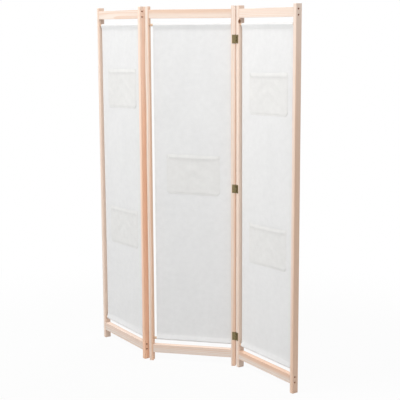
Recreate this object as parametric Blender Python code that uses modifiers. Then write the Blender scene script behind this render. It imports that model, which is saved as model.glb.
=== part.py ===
"""Three-panel folding screen: pine frames, cloth hung between rods, sewn pockets, brass hinges.

Each panel is two stiles with a rail butted between them at the top and at the bottom. A strip of
cloth is folded round a wooden rod at each end, and the rods sit in blind sockets in the stiles.
The left panel is hinged on the back of the centre panel and the right panel on its front, so the
screen stands in a zig-zag and folds flat both ways.

Metres, +Z up. X runs along the centre panel and +Y points away from the viewer. The origin is on
the floor under the middle of the centre panel, which is also the middle of the whole footprint.
"""

import math

import bmesh
import bpy
from mathutils import Matrix, Vector

# Overall size and stance
SCREEN_HEIGHT = 1.700
PANEL_WIDTH = 0.425
PANEL_GAP = 0.004                    # between neighbouring stiles when the screen is opened flat
FOLD_ANGLE = math.radians(44.0)      # how far each outer panel is turned away from flat

# Stiles and rails
STILE_WIDTH = 0.020
STILE_DEPTH = 0.030
RAIL_HEIGHT = 0.040
RAIL_THICKNESS = 0.025               # the front faces of rails and stiles are flush
TOP_HORN = 0.015                     # stile left standing above the top rail
LEG_HEIGHT = 0.042                   # floor to the bottom rail
ARRIS = 0.0012
BUTT_GAP = 0.0003                    # between a rail end and the stile it is screwed to

# Rods and their sockets
ROD_DIAMETER = 0.012
ROD_FROM_RAIL = 0.030                # rod centre to the near edge of the rail beside it
ROD_CHAMFER = 0.001
SOCKET_DEPTH = 0.008
ROD_CLEARANCE = 0.0003

# Frame screws, two at each rail end, with their heads sunk in counterbores
SCREW_LENGTH = 0.045                 # under the head
SCREW_DIAMETER = 0.004
SCREW_POINT = 0.006
SCREW_HEAD_DIAMETER = 0.0076
SCREW_HEAD_HEIGHT = 0.0026
SCREW_SPACING = 0.025
COUNTERBORE_DEPTH = 0.0065
SCREW_CLEARANCE = 0.0003

# Cloth
CLOTH_THICKNESS = 0.0010
CLOTH_SIDE_GAP = 0.009               # cloth edge to stile
TUNNEL_DEPTH = 0.029                 # top of the rod tunnel to its stitch line
HEM_ALLOWANCE = 0.008                # cloth left beyond the stitch line, behind the sheet
LAYER_GAP = 0.0003
WAVE_HEIGHT = 0.0010
WAVE_LENGTH = 0.250
TUNNEL_STEPS = 10
SHEET_ROWS = 8
CLOTH_COLUMNS = 8

# Pockets
CENTRE_POCKET_WIDTH = 0.255
SIDE_POCKET_WIDTH = 0.274            # of the four pockets on the outer panels
POCKET_HEIGHT = 0.189
POCKET_CORNER = 0.014                # cut off each lower corner
POCKET_GAPE = 0.009                  # how far the slack mouth stands off the sheet
POCKET_SEAM_GAP = 0.0004
UPPER_POCKET_FROM_TOP = 0.294        # top of the stiles to the mouth
CENTRE_POCKET_BELOW_MIDDLE = 0.026   # half the screen's height to the foot
LOWER_POCKET_BASE = 0.532            # floor to the foot
POCKET_SHIFT = 0.010                 # every pocket is sewn a little right of its panel's middle
BELLY_RISE_SHARE = 0.40              # share of the height over which the belly fills out
POCKET_COLUMNS = 10
POCKET_ROWS = 6

# Hinges
HINGE_HEIGHT = 0.039
HINGE_FROM_END = 0.150               # hinge centre to the end of the stile
MIDDLE_HINGE_RAISE = 0.011           # of the middle hinge above half the screen's height
LEAF_WIDTH = 0.017                   # pin axis to the free edge of the leaf
LEAF_THICKNESS = 0.0011
LEAF_SEAT_GAP = 0.0003
PIN_DIAMETER = 0.0026
PIN_CLEARANCE = 0.0003
PIN_HEAD_HEIGHT = 0.0008
KNUCKLE_COUNT = 5
KNUCKLE_GAP = 0.0003
SLOT_CLEARANCE = 0.0004              # between a leaf and the knuckles of the other leaf

# Hinge screws, two in each leaf
LEAF_SCREW_LENGTH = 0.012
LEAF_SCREW_DIAMETER = 0.0026
LEAF_SCREW_TIP = 0.0010
LEAF_SCREW_HEAD = 0.0052
LEAF_SCREW_SINK = 0.0004             # how far the head lies below the face of the leaf
LEAF_SCREW_SPACING = 0.024

# Working values
OVERRUN = 0.002                      # how far every cutter stands past the face it cuts
WELD_DISTANCE = 0.00001
SMOOTH_ANGLE = math.radians(35.0)
QUARTER_TURN = math.pi / 2
ARRIS_SEGMENTS = 2
ROD_SIDES = 14
SCREW_SIDES = 10
LEAF_SCREW_SIDES = 8
BARREL_SIDES = 12

# Sizes that follow from the ones above
CLEAR_WIDTH = PANEL_WIDTH - 2 * STILE_WIDTH
TOP_RAIL_BASE = SCREEN_HEIGHT - TOP_HORN - RAIL_HEIGHT
ROD_SETBACK = RAIL_THICKNESS / 2     # rods and frame screws are in line with the middle of the rails
TOP_ROD_HEIGHT = TOP_RAIL_BASE - ROD_FROM_RAIL
BOTTOM_ROD_HEIGHT = LEG_HEIGHT + RAIL_HEIGHT + ROD_FROM_RAIL
UPPER_POCKET_BASE = SCREEN_HEIGHT - UPPER_POCKET_FROM_TOP - POCKET_HEIGHT
CENTRE_POCKET_BASE = SCREEN_HEIGHT / 2 - CENTRE_POCKET_BELOW_MIDDLE
KNUCKLE_BORE = PIN_DIAMETER / 2 + PIN_CLEARANCE      # both of these are radii
KNUCKLE_RADIUS = KNUCKLE_BORE + LEAF_THICKNESS
LEAF_SCREW_ACROSS = (KNUCKLE_RADIUS + LEAF_WIDTH) / 2
AXIS_STANDOFF = KNUCKLE_RADIUS + LEAF_SEAT_GAP       # pin axis to the faces of the stiles
AXIS_ACROSS = PANEL_WIDTH / 2 + PANEL_GAP / 2
AXIS_OUT = STILE_DEPTH / 2 + AXIS_STANDOFF
HINGE_HEIGHTS = {"bottom": HINGE_FROM_END,
                 "middle": SCREEN_HEIGHT / 2 + MIDDLE_HINGE_RAISE,
                 "top": SCREEN_HEIGHT - HINGE_FROM_END}
SCREW_HEIGHTS = {"bottom_lower": LEG_HEIGHT + (RAIL_HEIGHT - SCREW_SPACING) / 2,
                 "bottom_upper": LEG_HEIGHT + (RAIL_HEIGHT + SCREW_SPACING) / 2,
                 "top_lower": TOP_RAIL_BASE + (RAIL_HEIGHT - SCREW_SPACING) / 2,
                 "top_upper": TOP_RAIL_BASE + (RAIL_HEIGHT + SCREW_SPACING) / 2}


# Scene, collections and materials
for existing in list(bpy.data.objects):
    bpy.data.objects.remove(existing, do_unlink=True)

parts = bpy.data.collections.new("fabric_room_divider")
cutters = bpy.data.collections.new("cutters")
for collection in (parts, cutters):
    bpy.context.scene.collection.children.link(collection)


def principled(name, colour, roughness, metallic=0.0):
    material = bpy.data.materials.new(name)
    material.use_nodes = True
    shader = material.node_tree.nodes["Principled BSDF"]
    shader.inputs["Base Color"].default_value = (*colour, 1.0)
    shader.inputs["Roughness"].default_value = roughness
    shader.inputs["Metallic"].default_value = metallic
    return material


PINE = principled("pine", (0.80, 0.58, 0.41), 0.55)
ROD_WOOD = principled("rod_wood", (0.74, 0.55, 0.38), 0.6)
CLOTH = principled("cloth", (0.80, 0.80, 0.79), 0.9)
BRASS = principled("brass", (0.45, 0.36, 0.19), 0.35, metallic=1.0)
SCREW_METAL = principled("screw_metal", (0.30, 0.24, 0.15), 0.4, metallic=1.0)


# Tools shared by the pieces
def add_empty(name, location, turn=0.0, parent=None):
    marker = bpy.data.objects.new(name, None)
    parts.objects.link(marker)
    marker.location = location
    marker.rotation_euler.z = turn
    marker.parent = parent
    return marker


def mesh_from(bm, name):
    """Turn a bmesh into a mesh with its faces pointing out."""
    bmesh.ops.recalc_face_normals(bm, faces=bm.faces)
    mesh = bpy.data.meshes.new(name)
    bm.to_mesh(mesh)
    bm.free()
    return mesh


def add_part(name, mesh, parent, location, material, rotation=(0, 0, 0)):
    piece = bpy.data.objects.new(name, mesh)
    parts.objects.link(piece)
    piece.parent = parent
    piece.location = location
    piece.rotation_euler = rotation
    if not mesh.materials:
        mesh.materials.append(material)
    return piece


def add_box(bm, size, centre):
    verts = bmesh.ops.create_cube(bm, size=1.0)["verts"]
    bmesh.ops.scale(bm, vec=size, verts=verts)
    bmesh.ops.translate(bm, vec=centre, verts=verts)


def add_cylinder(bm, start, direction, length, radius, sides, end_radius=None):
    """A cylinder, or a taper, that runs from start along direction."""
    turn = Vector(direction).to_track_quat("Z", "X").to_matrix().to_4x4()
    placing = Matrix.Translation(start) @ turn @ Matrix.Translation((0, 0, length / 2))
    bmesh.ops.create_cone(bm, cap_ends=True, segments=sides, radius1=radius,
                          radius2=radius if end_radius is None else end_radius,
                          depth=length, matrix=placing)


def combine(piece, operation, bm):
    """Cut the solids in a bmesh, given in the piece's own frame, out of the piece, or join them to it."""
    name = f"{piece.name}_{operation.lower()}_{len(piece.modifiers)}"
    helper = bpy.data.objects.new(name, mesh_from(bm, name))
    cutters.objects.link(helper)
    helper.parent = piece.parent
    helper.location = piece.location
    helper.rotation_euler = piece.rotation_euler
    helper.hide_render = True
    helper.display_type = "WIRE"
    boolean = piece.modifiers.new(operation.lower(), "BOOLEAN")
    boolean.operation = operation
    boolean.solver = "EXACT"
    boolean.object = helper


def drill(piece, faces, direction, depth, diameter, sides):
    """Drill a hole from each point on a face of the piece, depth deep along direction."""
    into = Vector(direction)
    bm = bmesh.new()
    for point in faces:
        start = Vector(point) - into * OVERRUN
        add_cylinder(bm, start, into, depth + OVERRUN, diameter / 2, sides)
    combine(piece, "DIFFERENCE", bm)


def applied(piece, name):
    """The piece's evaluated mesh, with the piece and its helpers taken away."""
    graph = bpy.context.evaluated_depsgraph_get()
    mesh = bpy.data.meshes.new_from_object(piece.evaluated_get(graph))
    mesh.name = name
    for modifier in list(piece.modifiers):
        bpy.data.objects.remove(modifier.object, do_unlink=True)
    bpy.data.objects.remove(piece, do_unlink=True)
    return mesh


def bevel(piece, width, segments, limit="ANGLE"):
    modifier = piece.modifiers.new("bevel", "BEVEL")
    modifier.width = width
    modifier.segments = segments
    modifier.limit_method = limit
    modifier.angle_limit = SMOOTH_ANGLE


def turned_mesh(name, profile):
    """The edge chain of (radius, height) points, from the top of the axis to the foot of it."""
    mesh = bpy.data.meshes.new(name)
    verts = [(radius, 0, height) for radius, height in profile]
    edges = [(index, index + 1) for index in range(len(verts) - 1)]
    mesh.from_pydata(verts, edges, [])
    return mesh


def turn(piece, sides):
    lathe = piece.modifiers.new("turned", "SCREW")
    lathe.steps = sides
    lathe.render_steps = sides
    lathe.use_merge_vertices = True
    lathe.merge_threshold = WELD_DISTANCE
    lathe.use_smooth_shade = False


def round_shade(piece):
    piece.data.shade_smooth()
    piece.data.set_sharp_from_angle(angle=SMOOTH_ANGLE)


# Timber frame
def make_stile(name, panel, centre, outward, hinge_face):
    """outward is -1 for a left stile; hinge_face is -1 for hinges on the front, 1 back, 0 none."""
    bm = bmesh.new()
    add_box(bm, (STILE_WIDTH, STILE_DEPTH, SCREEN_HEIGHT), (0, 0, SCREEN_HEIGHT / 2))
    stile = add_part(name, mesh_from(bm, name), panel, centre, PINE)
    bevel(stile, ARRIS, ARRIS_SEGMENTS)

    outer, inner = outward * STILE_WIDTH / 2, -outward * STILE_WIDTH / 2
    in_line = ROD_SETBACK - STILE_DEPTH / 2
    heads = [(outer, in_line, height) for height in SCREW_HEIGHTS.values()]
    drill(stile, heads, (-outward, 0, 0), COUNTERBORE_DEPTH,
          SCREW_HEAD_DIAMETER + 2 * SCREW_CLEARANCE, SCREW_SIDES)
    drill(stile, heads, (-outward, 0, 0), STILE_WIDTH + OVERRUN,
          SCREW_DIAMETER + 2 * SCREW_CLEARANCE, SCREW_SIDES)
    sockets = [(inner, in_line, height) for height in (BOTTOM_ROD_HEIGHT, TOP_ROD_HEIGHT)]
    drill(stile, sockets, (outward, 0, 0), SOCKET_DEPTH, ROD_DIAMETER + 2 * ROD_CLEARANCE, ROD_SIDES)

    if hinge_face:
        axis = outward * (STILE_WIDTH + PANEL_GAP) / 2
        pilots = [(axis - outward * LEAF_SCREW_ACROSS, hinge_face * STILE_DEPTH / 2, middle + offset)
                  for middle in HINGE_HEIGHTS.values()
                  for offset in (-LEAF_SCREW_SPACING / 2, LEAF_SCREW_SPACING / 2)]
        drill(stile, pilots, (0, -hinge_face, 0), LEAF_SCREW_LENGTH,
              LEAF_SCREW_DIAMETER + 2 * SCREW_CLEARANCE, LEAF_SCREW_SIDES)
    round_shade(stile)


def make_rail(name, panel, centre_x, front, base):
    """A rail with only its long arrises eased, and pilot holes in its ends."""
    length = CLEAR_WIDTH - 2 * BUTT_GAP
    bm = bmesh.new()
    add_box(bm, (length, RAIL_THICKNESS, RAIL_HEIGHT), (0, 0, RAIL_HEIGHT / 2))
    mesh = mesh_from(bm, name)
    rail = add_part(name, mesh, panel, (centre_x, front + RAIL_THICKNESS / 2, base), PINE)
    weights = mesh.attributes.new("bevel_weight_edge", "FLOAT", "EDGE")
    for edge in mesh.edges:
        start, end = (mesh.vertices[index].co for index in edge.vertices)
        weights.data[edge.index].value = float(start.x != end.x)
    bevel(rail, ARRIS, ARRIS_SEGMENTS, limit="WEIGHT")

    depth = COUNTERBORE_DEPTH + SCREW_LENGTH - STILE_WIDTH
    for side in (-1, 1):
        ends = [(side * length / 2, 0, (RAIL_HEIGHT + offset) / 2)
                for offset in (-SCREW_SPACING, SCREW_SPACING)]
        drill(rail, ends, (-side, 0, 0), depth, SCREW_DIAMETER + 2 * SCREW_CLEARANCE, SCREW_SIDES)
    round_shade(rail)


def make_rod(name, panel, centre_x, front, height):
    length = CLEAR_WIDTH + 2 * (SOCKET_DEPTH - ROD_CLEARANCE)
    bm = bmesh.new()
    add_cylinder(bm, (-length / 2, 0, 0), (1, 0, 0), length, ROD_DIAMETER / 2, ROD_SIDES)
    place = (centre_x, front + ROD_SETBACK, height)
    rod = add_part(name, mesh_from(bm, name), panel, place, ROD_WOOD)
    bevel(rod, ROD_CHAMFER, 1)
    round_shade(rod)


FRAME_SCREW = turned_mesh("frame_screw", [
    (0, SCREW_HEAD_HEIGHT),
    (SCREW_DIAMETER / 2, SCREW_HEAD_HEIGHT),
    (SCREW_HEAD_DIAMETER / 2, SCREW_HEAD_HEIGHT / 2),
    (SCREW_HEAD_DIAMETER / 2, 0),
    (SCREW_DIAMETER / 2, 0),
    (SCREW_DIAMETER / 2, SCREW_POINT - SCREW_LENGTH),
    (0, -SCREW_LENGTH)])


def make_frame_screws(panel_name, panel, left, front, stiles):
    """A screw for each hole in both stiles, its head resting on the floor of the counterbore."""
    seat = COUNTERBORE_DEPTH - SCREW_CLEARANCE
    for outward, stile_name in zip((-1, 1), stiles):
        edge = left if outward < 0 else left + PANEL_WIDTH
        for hole, height in SCREW_HEIGHTS.items():
            place = (edge - outward * seat, front + ROD_SETBACK, height)
            screw = add_part(f"{panel_name}_{stile_name}_{hole}_screw", FRAME_SCREW, panel, place,
                             SCREW_METAL, (0, outward * QUARTER_TURN, 0))
            turn(screw, SCREW_SIDES)


# Cloth, in a frame whose Y is measured back from the plane of the rods
CLOTH_WIDTH = CLEAR_WIDTH - 2 * CLOTH_SIDE_GAP
HEM_PLANE = (CLOTH_THICKNESS + LAYER_GAP) / 2
SHEET_PLANE = -HEM_PLANE
LOOP_RADIUS = ROD_DIAMETER / 2 + ROD_CLEARANCE + CLOTH_THICKNESS / 2
STITCH_FROM_ROD = TUNNEL_DEPTH - LOOP_RADIUS - CLOTH_THICKNESS / 2
TOP_STITCH = TOP_ROD_HEIGHT - STITCH_FROM_ROD
BOTTOM_STITCH = BOTTOM_ROD_HEIGHT + STITCH_FROM_ROD


def sheet_wave(across, height):
    """How far the sheet stands off its plane: slack ripples that die out at the stitch lines."""
    drop = (height - BOTTOM_STITCH) / (TOP_STITCH - BOTTOM_STITCH)
    if not 0 < drop < 1:
        return 0.0
    lean = math.pi * drop
    return WAVE_HEIGHT * math.sin(lean) * math.sin(2 * math.pi * across / WAVE_LENGTH + lean)


def tunnel_arc(rod_height, up):
    """The cloth round one rod, from where it leaves the hem to where it meets the sheet."""
    sweep = math.pi - math.acos(LOOP_RADIUS / STITCH_FROM_ROD)
    points = []
    for step in range(TUNNEL_STEPS + 1):
        angle = sweep * (2 * step / TUNNEL_STEPS - 1)
        points.append((-LOOP_RADIUS * math.sin(angle), rod_height + up * LOOP_RADIUS * math.cos(angle)))
    return points


def cloth_section():
    """The strip from hem to hem, as (depth, height): over one rod, down, and under the other."""
    top = [(HEM_PLANE, TOP_STITCH - HEM_ALLOWANCE), (HEM_PLANE, TOP_STITCH)]
    top += tunnel_arc(TOP_ROD_HEIGHT, 1)
    fall = TOP_STITCH - BOTTOM_STITCH
    sheet = [(SHEET_PLANE, TOP_STITCH - fall * row / SHEET_ROWS) for row in range(SHEET_ROWS + 1)]
    bottom = tunnel_arc(BOTTOM_ROD_HEIGHT, -1)[::-1]
    bottom += [(HEM_PLANE, BOTTOM_STITCH), (HEM_PLANE, BOTTOM_STITCH + HEM_ALLOWANCE)]
    return top + sheet + bottom


def thicken(piece):
    solid = piece.modifiers.new("thickness", "SOLIDIFY")
    solid.thickness = CLOTH_THICKNESS
    solid.offset = 0.0
    solid.use_even_offset = True
    piece.data.shade_smooth()


def make_cloth(name, panel, centre_x, front):
    section = cloth_section()
    rows = len(section) - 1
    bm = bmesh.new()
    bmesh.ops.create_grid(bm, x_segments=CLOTH_COLUMNS, y_segments=rows, size=1.0)
    for vert in bm.verts:
        across = vert.co.x * CLOTH_WIDTH / 2
        depth, height = section[round((vert.co.y + 1) / 2 * rows)]
        if depth == SHEET_PLANE:
            depth += sheet_wave(across, height)
        vert.co = (across, depth, height)
    place = (centre_x, front + ROD_SETBACK, 0)
    thicken(add_part(name, mesh_from(bm, name), panel, place, CLOTH))


def make_pocket(name, panel, centre_x, front, base, width):
    """A patch sewn along its sides and foot, slack at the mouth, with its lower corners cut off."""
    bm = bmesh.new()
    bmesh.ops.create_grid(bm, x_segments=POCKET_COLUMNS, y_segments=POCKET_ROWS, size=1.0)
    bmesh.ops.scale(bm, vec=(width / 2, POCKET_HEIGHT / 2, 1), verts=bm.verts)
    bmesh.ops.translate(bm, vec=(0, POCKET_HEIGHT / 2, 0), verts=bm.verts)
    for side in (-1, 1):
        bmesh.ops.bisect_plane(bm, geom=bm.verts[:] + bm.edges[:] + bm.faces[:], dist=WELD_DISTANCE,
                               plane_co=(side * width / 2, POCKET_CORNER, 0),
                               plane_no=(side, -1, 0), clear_outer=True)
    for vert in bm.verts:
        across, up = vert.co.x, vert.co.y
        belly = 1 - (2 * across / width) ** 2
        rise = math.sin(QUARTER_TURN * min(up / (BELLY_RISE_SHARE * POCKET_HEIGHT), 1))
        lie = sheet_wave(across + POCKET_SHIFT, base + up)
        seam = SHEET_PLANE - CLOTH_THICKNESS - POCKET_SEAM_GAP + lie
        vert.co = (across, seam - POCKET_GAPE * belly * rise, up)
    place = (centre_x + POCKET_SHIFT, front + ROD_SETBACK, base)
    thicken(add_part(name, mesh_from(bm, name), panel, place, CLOTH))


# Hinges. In a hinge's own frame the pin is on the Z axis, the faces of the stiles are at +Y, and the
# leaf of the centre panel reaches towards -X
def rolled_section(outward):
    """The plan outline of a leaf, a flat plate whose inner edge is rolled round the pin."""
    start, finish = QUARTER_TURN, 2 * math.pi + math.asin(KNUCKLE_BORE / KNUCKLE_RADIUS)
    outline = [(LEAF_WIDTH, KNUCKLE_RADIUS)]
    for step in range(BARREL_SIDES + 1):
        angle = start + (finish - start) * step / BARREL_SIDES
        outline.append((KNUCKLE_RADIUS * math.cos(angle), KNUCKLE_RADIUS * math.sin(angle)))
    outline.append((LEAF_WIDTH, KNUCKLE_BORE))
    bore = []
    for step in range(BARREL_SIDES):
        angle = 2 * math.pi * (step + 0.5) / BARREL_SIDES
        bore.append((KNUCKLE_BORE * math.cos(angle), KNUCKLE_BORE * math.sin(angle)))
    return [[(outward * x, y) for x, y in ring] for ring in (outline, bore)]


def rolled_leaf(name, outward):
    """The leaf before it is slotted: its plan outline, bore included, drawn out to its height."""
    curve = bpy.data.curves.new(name, "CURVE")
    curve.dimensions = "2D"
    curve.fill_mode = "BOTH"
    curve.extrude = HINGE_HEIGHT / 2
    for ring in rolled_section(outward):
        spline = curve.splines.new("POLY")
        spline.points.add(len(ring) - 1)
        for point, (x, y) in zip(spline.points, ring):
            point.co = (x, y, 0, 1)
        spline.use_cyclic_u = True
    drawn = bpy.data.objects.new(name, curve)
    parts.objects.link(drawn)
    bm = bmesh.new()
    bm.from_mesh(applied(drawn, name))
    bmesh.ops.remove_doubles(bm, verts=bm.verts, dist=WELD_DISTANCE)
    leaf = bpy.data.objects.new(name, mesh_from(bm, name))
    parts.objects.link(leaf)
    return leaf


def knuckle_slots(outward, first):
    """What a leaf loses where the other leaf's knuckles go, the first of them being number first."""
    pitch = HINGE_HEIGHT / KNUCKLE_COUNT
    inward = KNUCKLE_RADIUS + OVERRUN
    reach = KNUCKLE_RADIUS + SLOT_CLEARANCE
    bm = bmesh.new()
    for number in range(first, KNUCKLE_COUNT, 2):
        low = pitch * number - KNUCKLE_GAP / 2
        high = pitch * (number + 1) + KNUCKLE_GAP / 2
        if number == 0:
            low -= OVERRUN
        if number == KNUCKLE_COUNT - 1:
            high += OVERRUN
        add_box(bm, (inward + reach, 2 * inward, high - low),
                (outward * (reach - inward) / 2, 0, (low + high - HINGE_HEIGHT) / 2))
    return bm


def leaf_mesh(name, outward, slots_from):
    """One leaf with its two screws driven, their heads a little below its face."""
    leaf = rolled_leaf(name, outward)
    combine(leaf, "DIFFERENCE", knuckle_slots(outward, slots_from))
    heads = [(outward * LEAF_SCREW_ACROSS, KNUCKLE_BORE, offset / 2)
             for offset in (-LEAF_SCREW_SPACING, LEAF_SCREW_SPACING)]
    drill(leaf, heads, (0, 1, 0), LEAF_SCREW_SINK, LEAF_SCREW_HEAD, LEAF_SCREW_SIDES)
    buried = (LEAF_SCREW_SINK + LEAF_THICKNESS) / 2
    shanks = bmesh.new()
    for across, face, height in heads:
        add_cylinder(shanks, (across, face + buried, height), (0, 1, 0), LEAF_SCREW_LENGTH - buried,
                     LEAF_SCREW_DIAMETER / 2, LEAF_SCREW_SIDES, LEAF_SCREW_TIP / 2)
    combine(leaf, "UNION", shanks)
    return applied(leaf, name)


CENTRE_LEAF = leaf_mesh("centre_leaf", -1, 1)
PANEL_LEAF = leaf_mesh("panel_leaf", 1, 0)
PIN = turned_mesh("hinge_pin", [
    (0, HINGE_HEIGHT / 2 + KNUCKLE_GAP + PIN_HEAD_HEIGHT),
    (PIN_DIAMETER / 2, HINGE_HEIGHT / 2 + KNUCKLE_GAP + PIN_HEAD_HEIGHT),
    (KNUCKLE_RADIUS, HINGE_HEIGHT / 2 + KNUCKLE_GAP),
    (PIN_DIAMETER / 2, HINGE_HEIGHT / 2 + KNUCKLE_GAP),
    (PIN_DIAMETER / 2, -HINGE_HEIGHT / 2 - KNUCKLE_GAP),
    (KNUCKLE_RADIUS, -HINGE_HEIGHT / 2 - KNUCKLE_GAP),
    (PIN_DIAMETER / 2, -HINGE_HEIGHT / 2 - KNUCKLE_GAP - PIN_HEAD_HEIGHT),
    (0, -HINGE_HEIGHT / 2 - KNUCKLE_GAP - PIN_HEAD_HEIGHT)])


def make_hinge(name, height, centre_panel, outer_panel, axis, turned):
    """Two leaves, each on its own panel, and the pin. turned is the hinge's angle in plan."""
    rotation = (0, 0, turned)
    on_centre = (*axis, height)
    round_shade(add_part(f"{name}_centre_leaf", CENTRE_LEAF, centre_panel, on_centre, BRASS, rotation))
    round_shade(add_part(f"{name}_panel_leaf", PANEL_LEAF, outer_panel, (0, 0, height), BRASS, rotation))
    turn(add_part(f"{name}_pin", PIN, centre_panel, on_centre, BRASS), SCREW_SIDES)


# Panels
def make_panel(name, panel, left, front, stiles):
    """left and front are the panel's left edge and front face in its own frame."""
    middle = left + PANEL_WIDTH / 2
    for outward, (stile_name, hinge_face) in zip((-1, 1), stiles.items()):
        centre = (middle + outward * (PANEL_WIDTH - STILE_WIDTH) / 2, front + STILE_DEPTH / 2, 0)
        make_stile(f"{name}_{stile_name}_stile", panel, centre, outward, hinge_face)
    make_rail(f"{name}_top_rail", panel, middle, front, TOP_RAIL_BASE)
    make_rail(f"{name}_bottom_rail", panel, middle, front, LEG_HEIGHT)
    make_rod(f"{name}_top_rod", panel, middle, front, TOP_ROD_HEIGHT)
    make_rod(f"{name}_bottom_rod", panel, middle, front, BOTTOM_ROD_HEIGHT)
    make_cloth(f"{name}_cloth", panel, middle, front)
    return middle


centre = add_empty("centre_panel", (0, 0, 0))
left_fold = add_empty("left_fold_axis", (-AXIS_ACROSS, AXIS_OUT, 0), -FOLD_ANGLE, centre)
right_fold = add_empty("right_fold_axis", (AXIS_ACROSS, -AXIS_OUT, 0), -FOLD_ANGLE, centre)

CENTRE_FRONT = -STILE_DEPTH / 2
centre_middle = make_panel("centre", centre, -PANEL_WIDTH / 2, CENTRE_FRONT, {"left": 1, "right": -1})
make_pocket("centre_pocket", centre, centre_middle, CENTRE_FRONT, CENTRE_POCKET_BASE, CENTRE_POCKET_WIDTH)

# The outer panels' screws are modelled; those of the centre panel lie hidden in the folds
outer_panels = {"left": (left_fold, -PANEL_WIDTH - PANEL_GAP / 2, -STILE_DEPTH - AXIS_STANDOFF,
                         {"outer": 0, "inner": 1}),
                "right": (right_fold, PANEL_GAP / 2, AXIS_STANDOFF, {"inner": -1, "outer": 0})}
for side, (fold, left_edge, front, stiles) in outer_panels.items():
    middle = make_panel(side, fold, left_edge, front, stiles)
    make_frame_screws(side, fold, left_edge, front, stiles)
    make_pocket(f"{side}_upper_pocket", fold, middle, front, UPPER_POCKET_BASE, SIDE_POCKET_WIDTH)
    make_pocket(f"{side}_lower_pocket", fold, middle, front, LOWER_POCKET_BASE, SIDE_POCKET_WIDTH)

for level, height in HINGE_HEIGHTS.items():
    make_hinge(f"left_{level}_hinge", height, centre, left_fold, (-AXIS_ACROSS, AXIS_OUT), math.pi)
    make_hinge(f"right_{level}_hinge", height, centre, right_fold, (AXIS_ACROSS, -AXIS_OUT), 0)
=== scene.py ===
import math
from collections import namedtuple

import bmesh
import bpy
from mathutils import Matrix, Vector


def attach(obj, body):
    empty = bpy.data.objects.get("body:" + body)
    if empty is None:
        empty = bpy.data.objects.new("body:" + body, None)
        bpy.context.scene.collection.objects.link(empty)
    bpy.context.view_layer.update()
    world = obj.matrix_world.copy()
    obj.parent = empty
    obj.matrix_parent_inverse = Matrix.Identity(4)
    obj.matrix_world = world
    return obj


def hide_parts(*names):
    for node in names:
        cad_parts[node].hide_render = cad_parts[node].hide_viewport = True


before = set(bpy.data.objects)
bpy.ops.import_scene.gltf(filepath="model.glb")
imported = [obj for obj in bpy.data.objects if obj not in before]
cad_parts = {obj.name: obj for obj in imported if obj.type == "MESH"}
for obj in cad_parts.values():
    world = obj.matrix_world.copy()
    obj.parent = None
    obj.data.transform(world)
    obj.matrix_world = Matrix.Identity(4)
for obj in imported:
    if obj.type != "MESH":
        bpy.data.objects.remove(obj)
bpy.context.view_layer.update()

# Stiles and rails
# Planed pine, pale sapwood with warmer heartwood at one edge of most boards. A rail is butted
# between two stiles at the top and at the bottom, flush with their fronts, and screwed through the
# stiles from counterbores in their sides.
PANEL_WIDTH = 0.425
STILE_WIDTH = 0.020
STILE_DEPTH = 0.030
SCREEN_HEIGHT = 1.700
RAIL_DEPTH = 0.025
FOLD_ANGLE = math.radians(44.0)
FOLD_ACROSS = 0.2145                 # middle of the centre panel to each line of hinge pins
FOLD_OUT = 0.018                     # middle of the stiles' depth to that line
PANEL_FROM_FOLD = 0.002              # that line to the edge of the outer panel
FACE_FROM_FOLD = 0.003               # that line to the faces which carry the hinges
ROD_PLANE = RAIL_DEPTH / 2           # behind the fronts of stiles and rails
HALF_PANEL = PANEL_WIDTH / 2
fold_lines = {side: Matrix.Translation((way * FOLD_ACROSS, -way * FOLD_OUT, 0))
              @ Matrix.Rotation(-FOLD_ANGLE, 4, "Z") for side, way in (("left", -1), ("right", 1))}
# Each panel's own frame: X across from its middle, Y back from the plane of its rods, Z up
panels = {
    "centre": Matrix.Translation((0, ROD_PLANE - STILE_DEPTH / 2, 0)),
    "left": fold_lines["left"] @ Matrix.Translation(
        (-PANEL_FROM_FOLD - HALF_PANEL, ROD_PLANE - STILE_DEPTH - FACE_FROM_FOLD, 0)),
    "right": fold_lines["right"] @ Matrix.Translation(
        (PANEL_FROM_FOLD + HALF_PANEL, ROD_PLANE + FACE_FROM_FOLD, 0))}

BOARD_PALE = (0.885, 0.765, 0.682, 1.0)
BOARD_LATE = (0.760, 0.500, 0.350, 1.0)
BOARD_HEART = (0.760, 0.440, 0.265, 1.0)
BOTTOM_SHADED_PALE = (0.823, 0.727, 0.662, 1.0)      # painted shade: the bottom rails, further from the lamps, are painted darker and greyer
DARK_SPOT_BROWN = (0.200, 0.085, 0.035, 1.0)
BORE_SHADE_BROWN = (0.600, 0.210, 0.065, 1.0)       # painted shade on the walls of holes bored into the wood
# How often each part of the figure varies in a metre: across, back and along the board
DRIFT_STRETCH = (9.0, 9.0, 1.1)
STREAK_STRETCH = (150.0, 150.0, 1.7)
WANDER_STRETCH = (40.0, 40.0, 2.4)
FIBRE_STRETCH = (1400.0, 1400.0, 30.0)
CLOUDY_STRETCH = (30.0, 30.0, 4.0)
RING_DRIFT = 0.022                   # how far the growth rings stray from true circles
LATE_RISE = (0.30, 0.88)             # shares of a ring's width in which the late wood darkens
LATE_FALL = (0.92, 1.0)              # and those in which it gives way to the next spring's wood
STREAK_EDGE = (0.50, 0.68)
STREAK_TINT = 0.75
HEART_WANDER = 0.016                 # how far the edge of the heartwood strays
HEART_EDGE = (-0.004, 0.011)         # from sapwood to heartwood, off the middle of the board
SLANT_LEVEL = 0.85                   # height at which a slanting edge crosses its usual place
FIBRE_SHADE = 0.16
CLOUDY_SHADE = 0.10
BORE_EDGE = (0.0005, 0.0010)         # below the planed faces, where the painted shade of bored holes starts
DARK_SPOT_EDGE = (0.0045, 0.0090)
DARK_SPOT_STRETCH = (1.0, 1.0, 0.75)
BOARD_ROUGHNESS = 0.50
FIBRE_ROUGHNESS = 0.14
LATE_ROUGHNESS = -0.10               # late wood planes smoother
LATE_RIDGE = 0.7                     # and stands proud of the softer early wood
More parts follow.
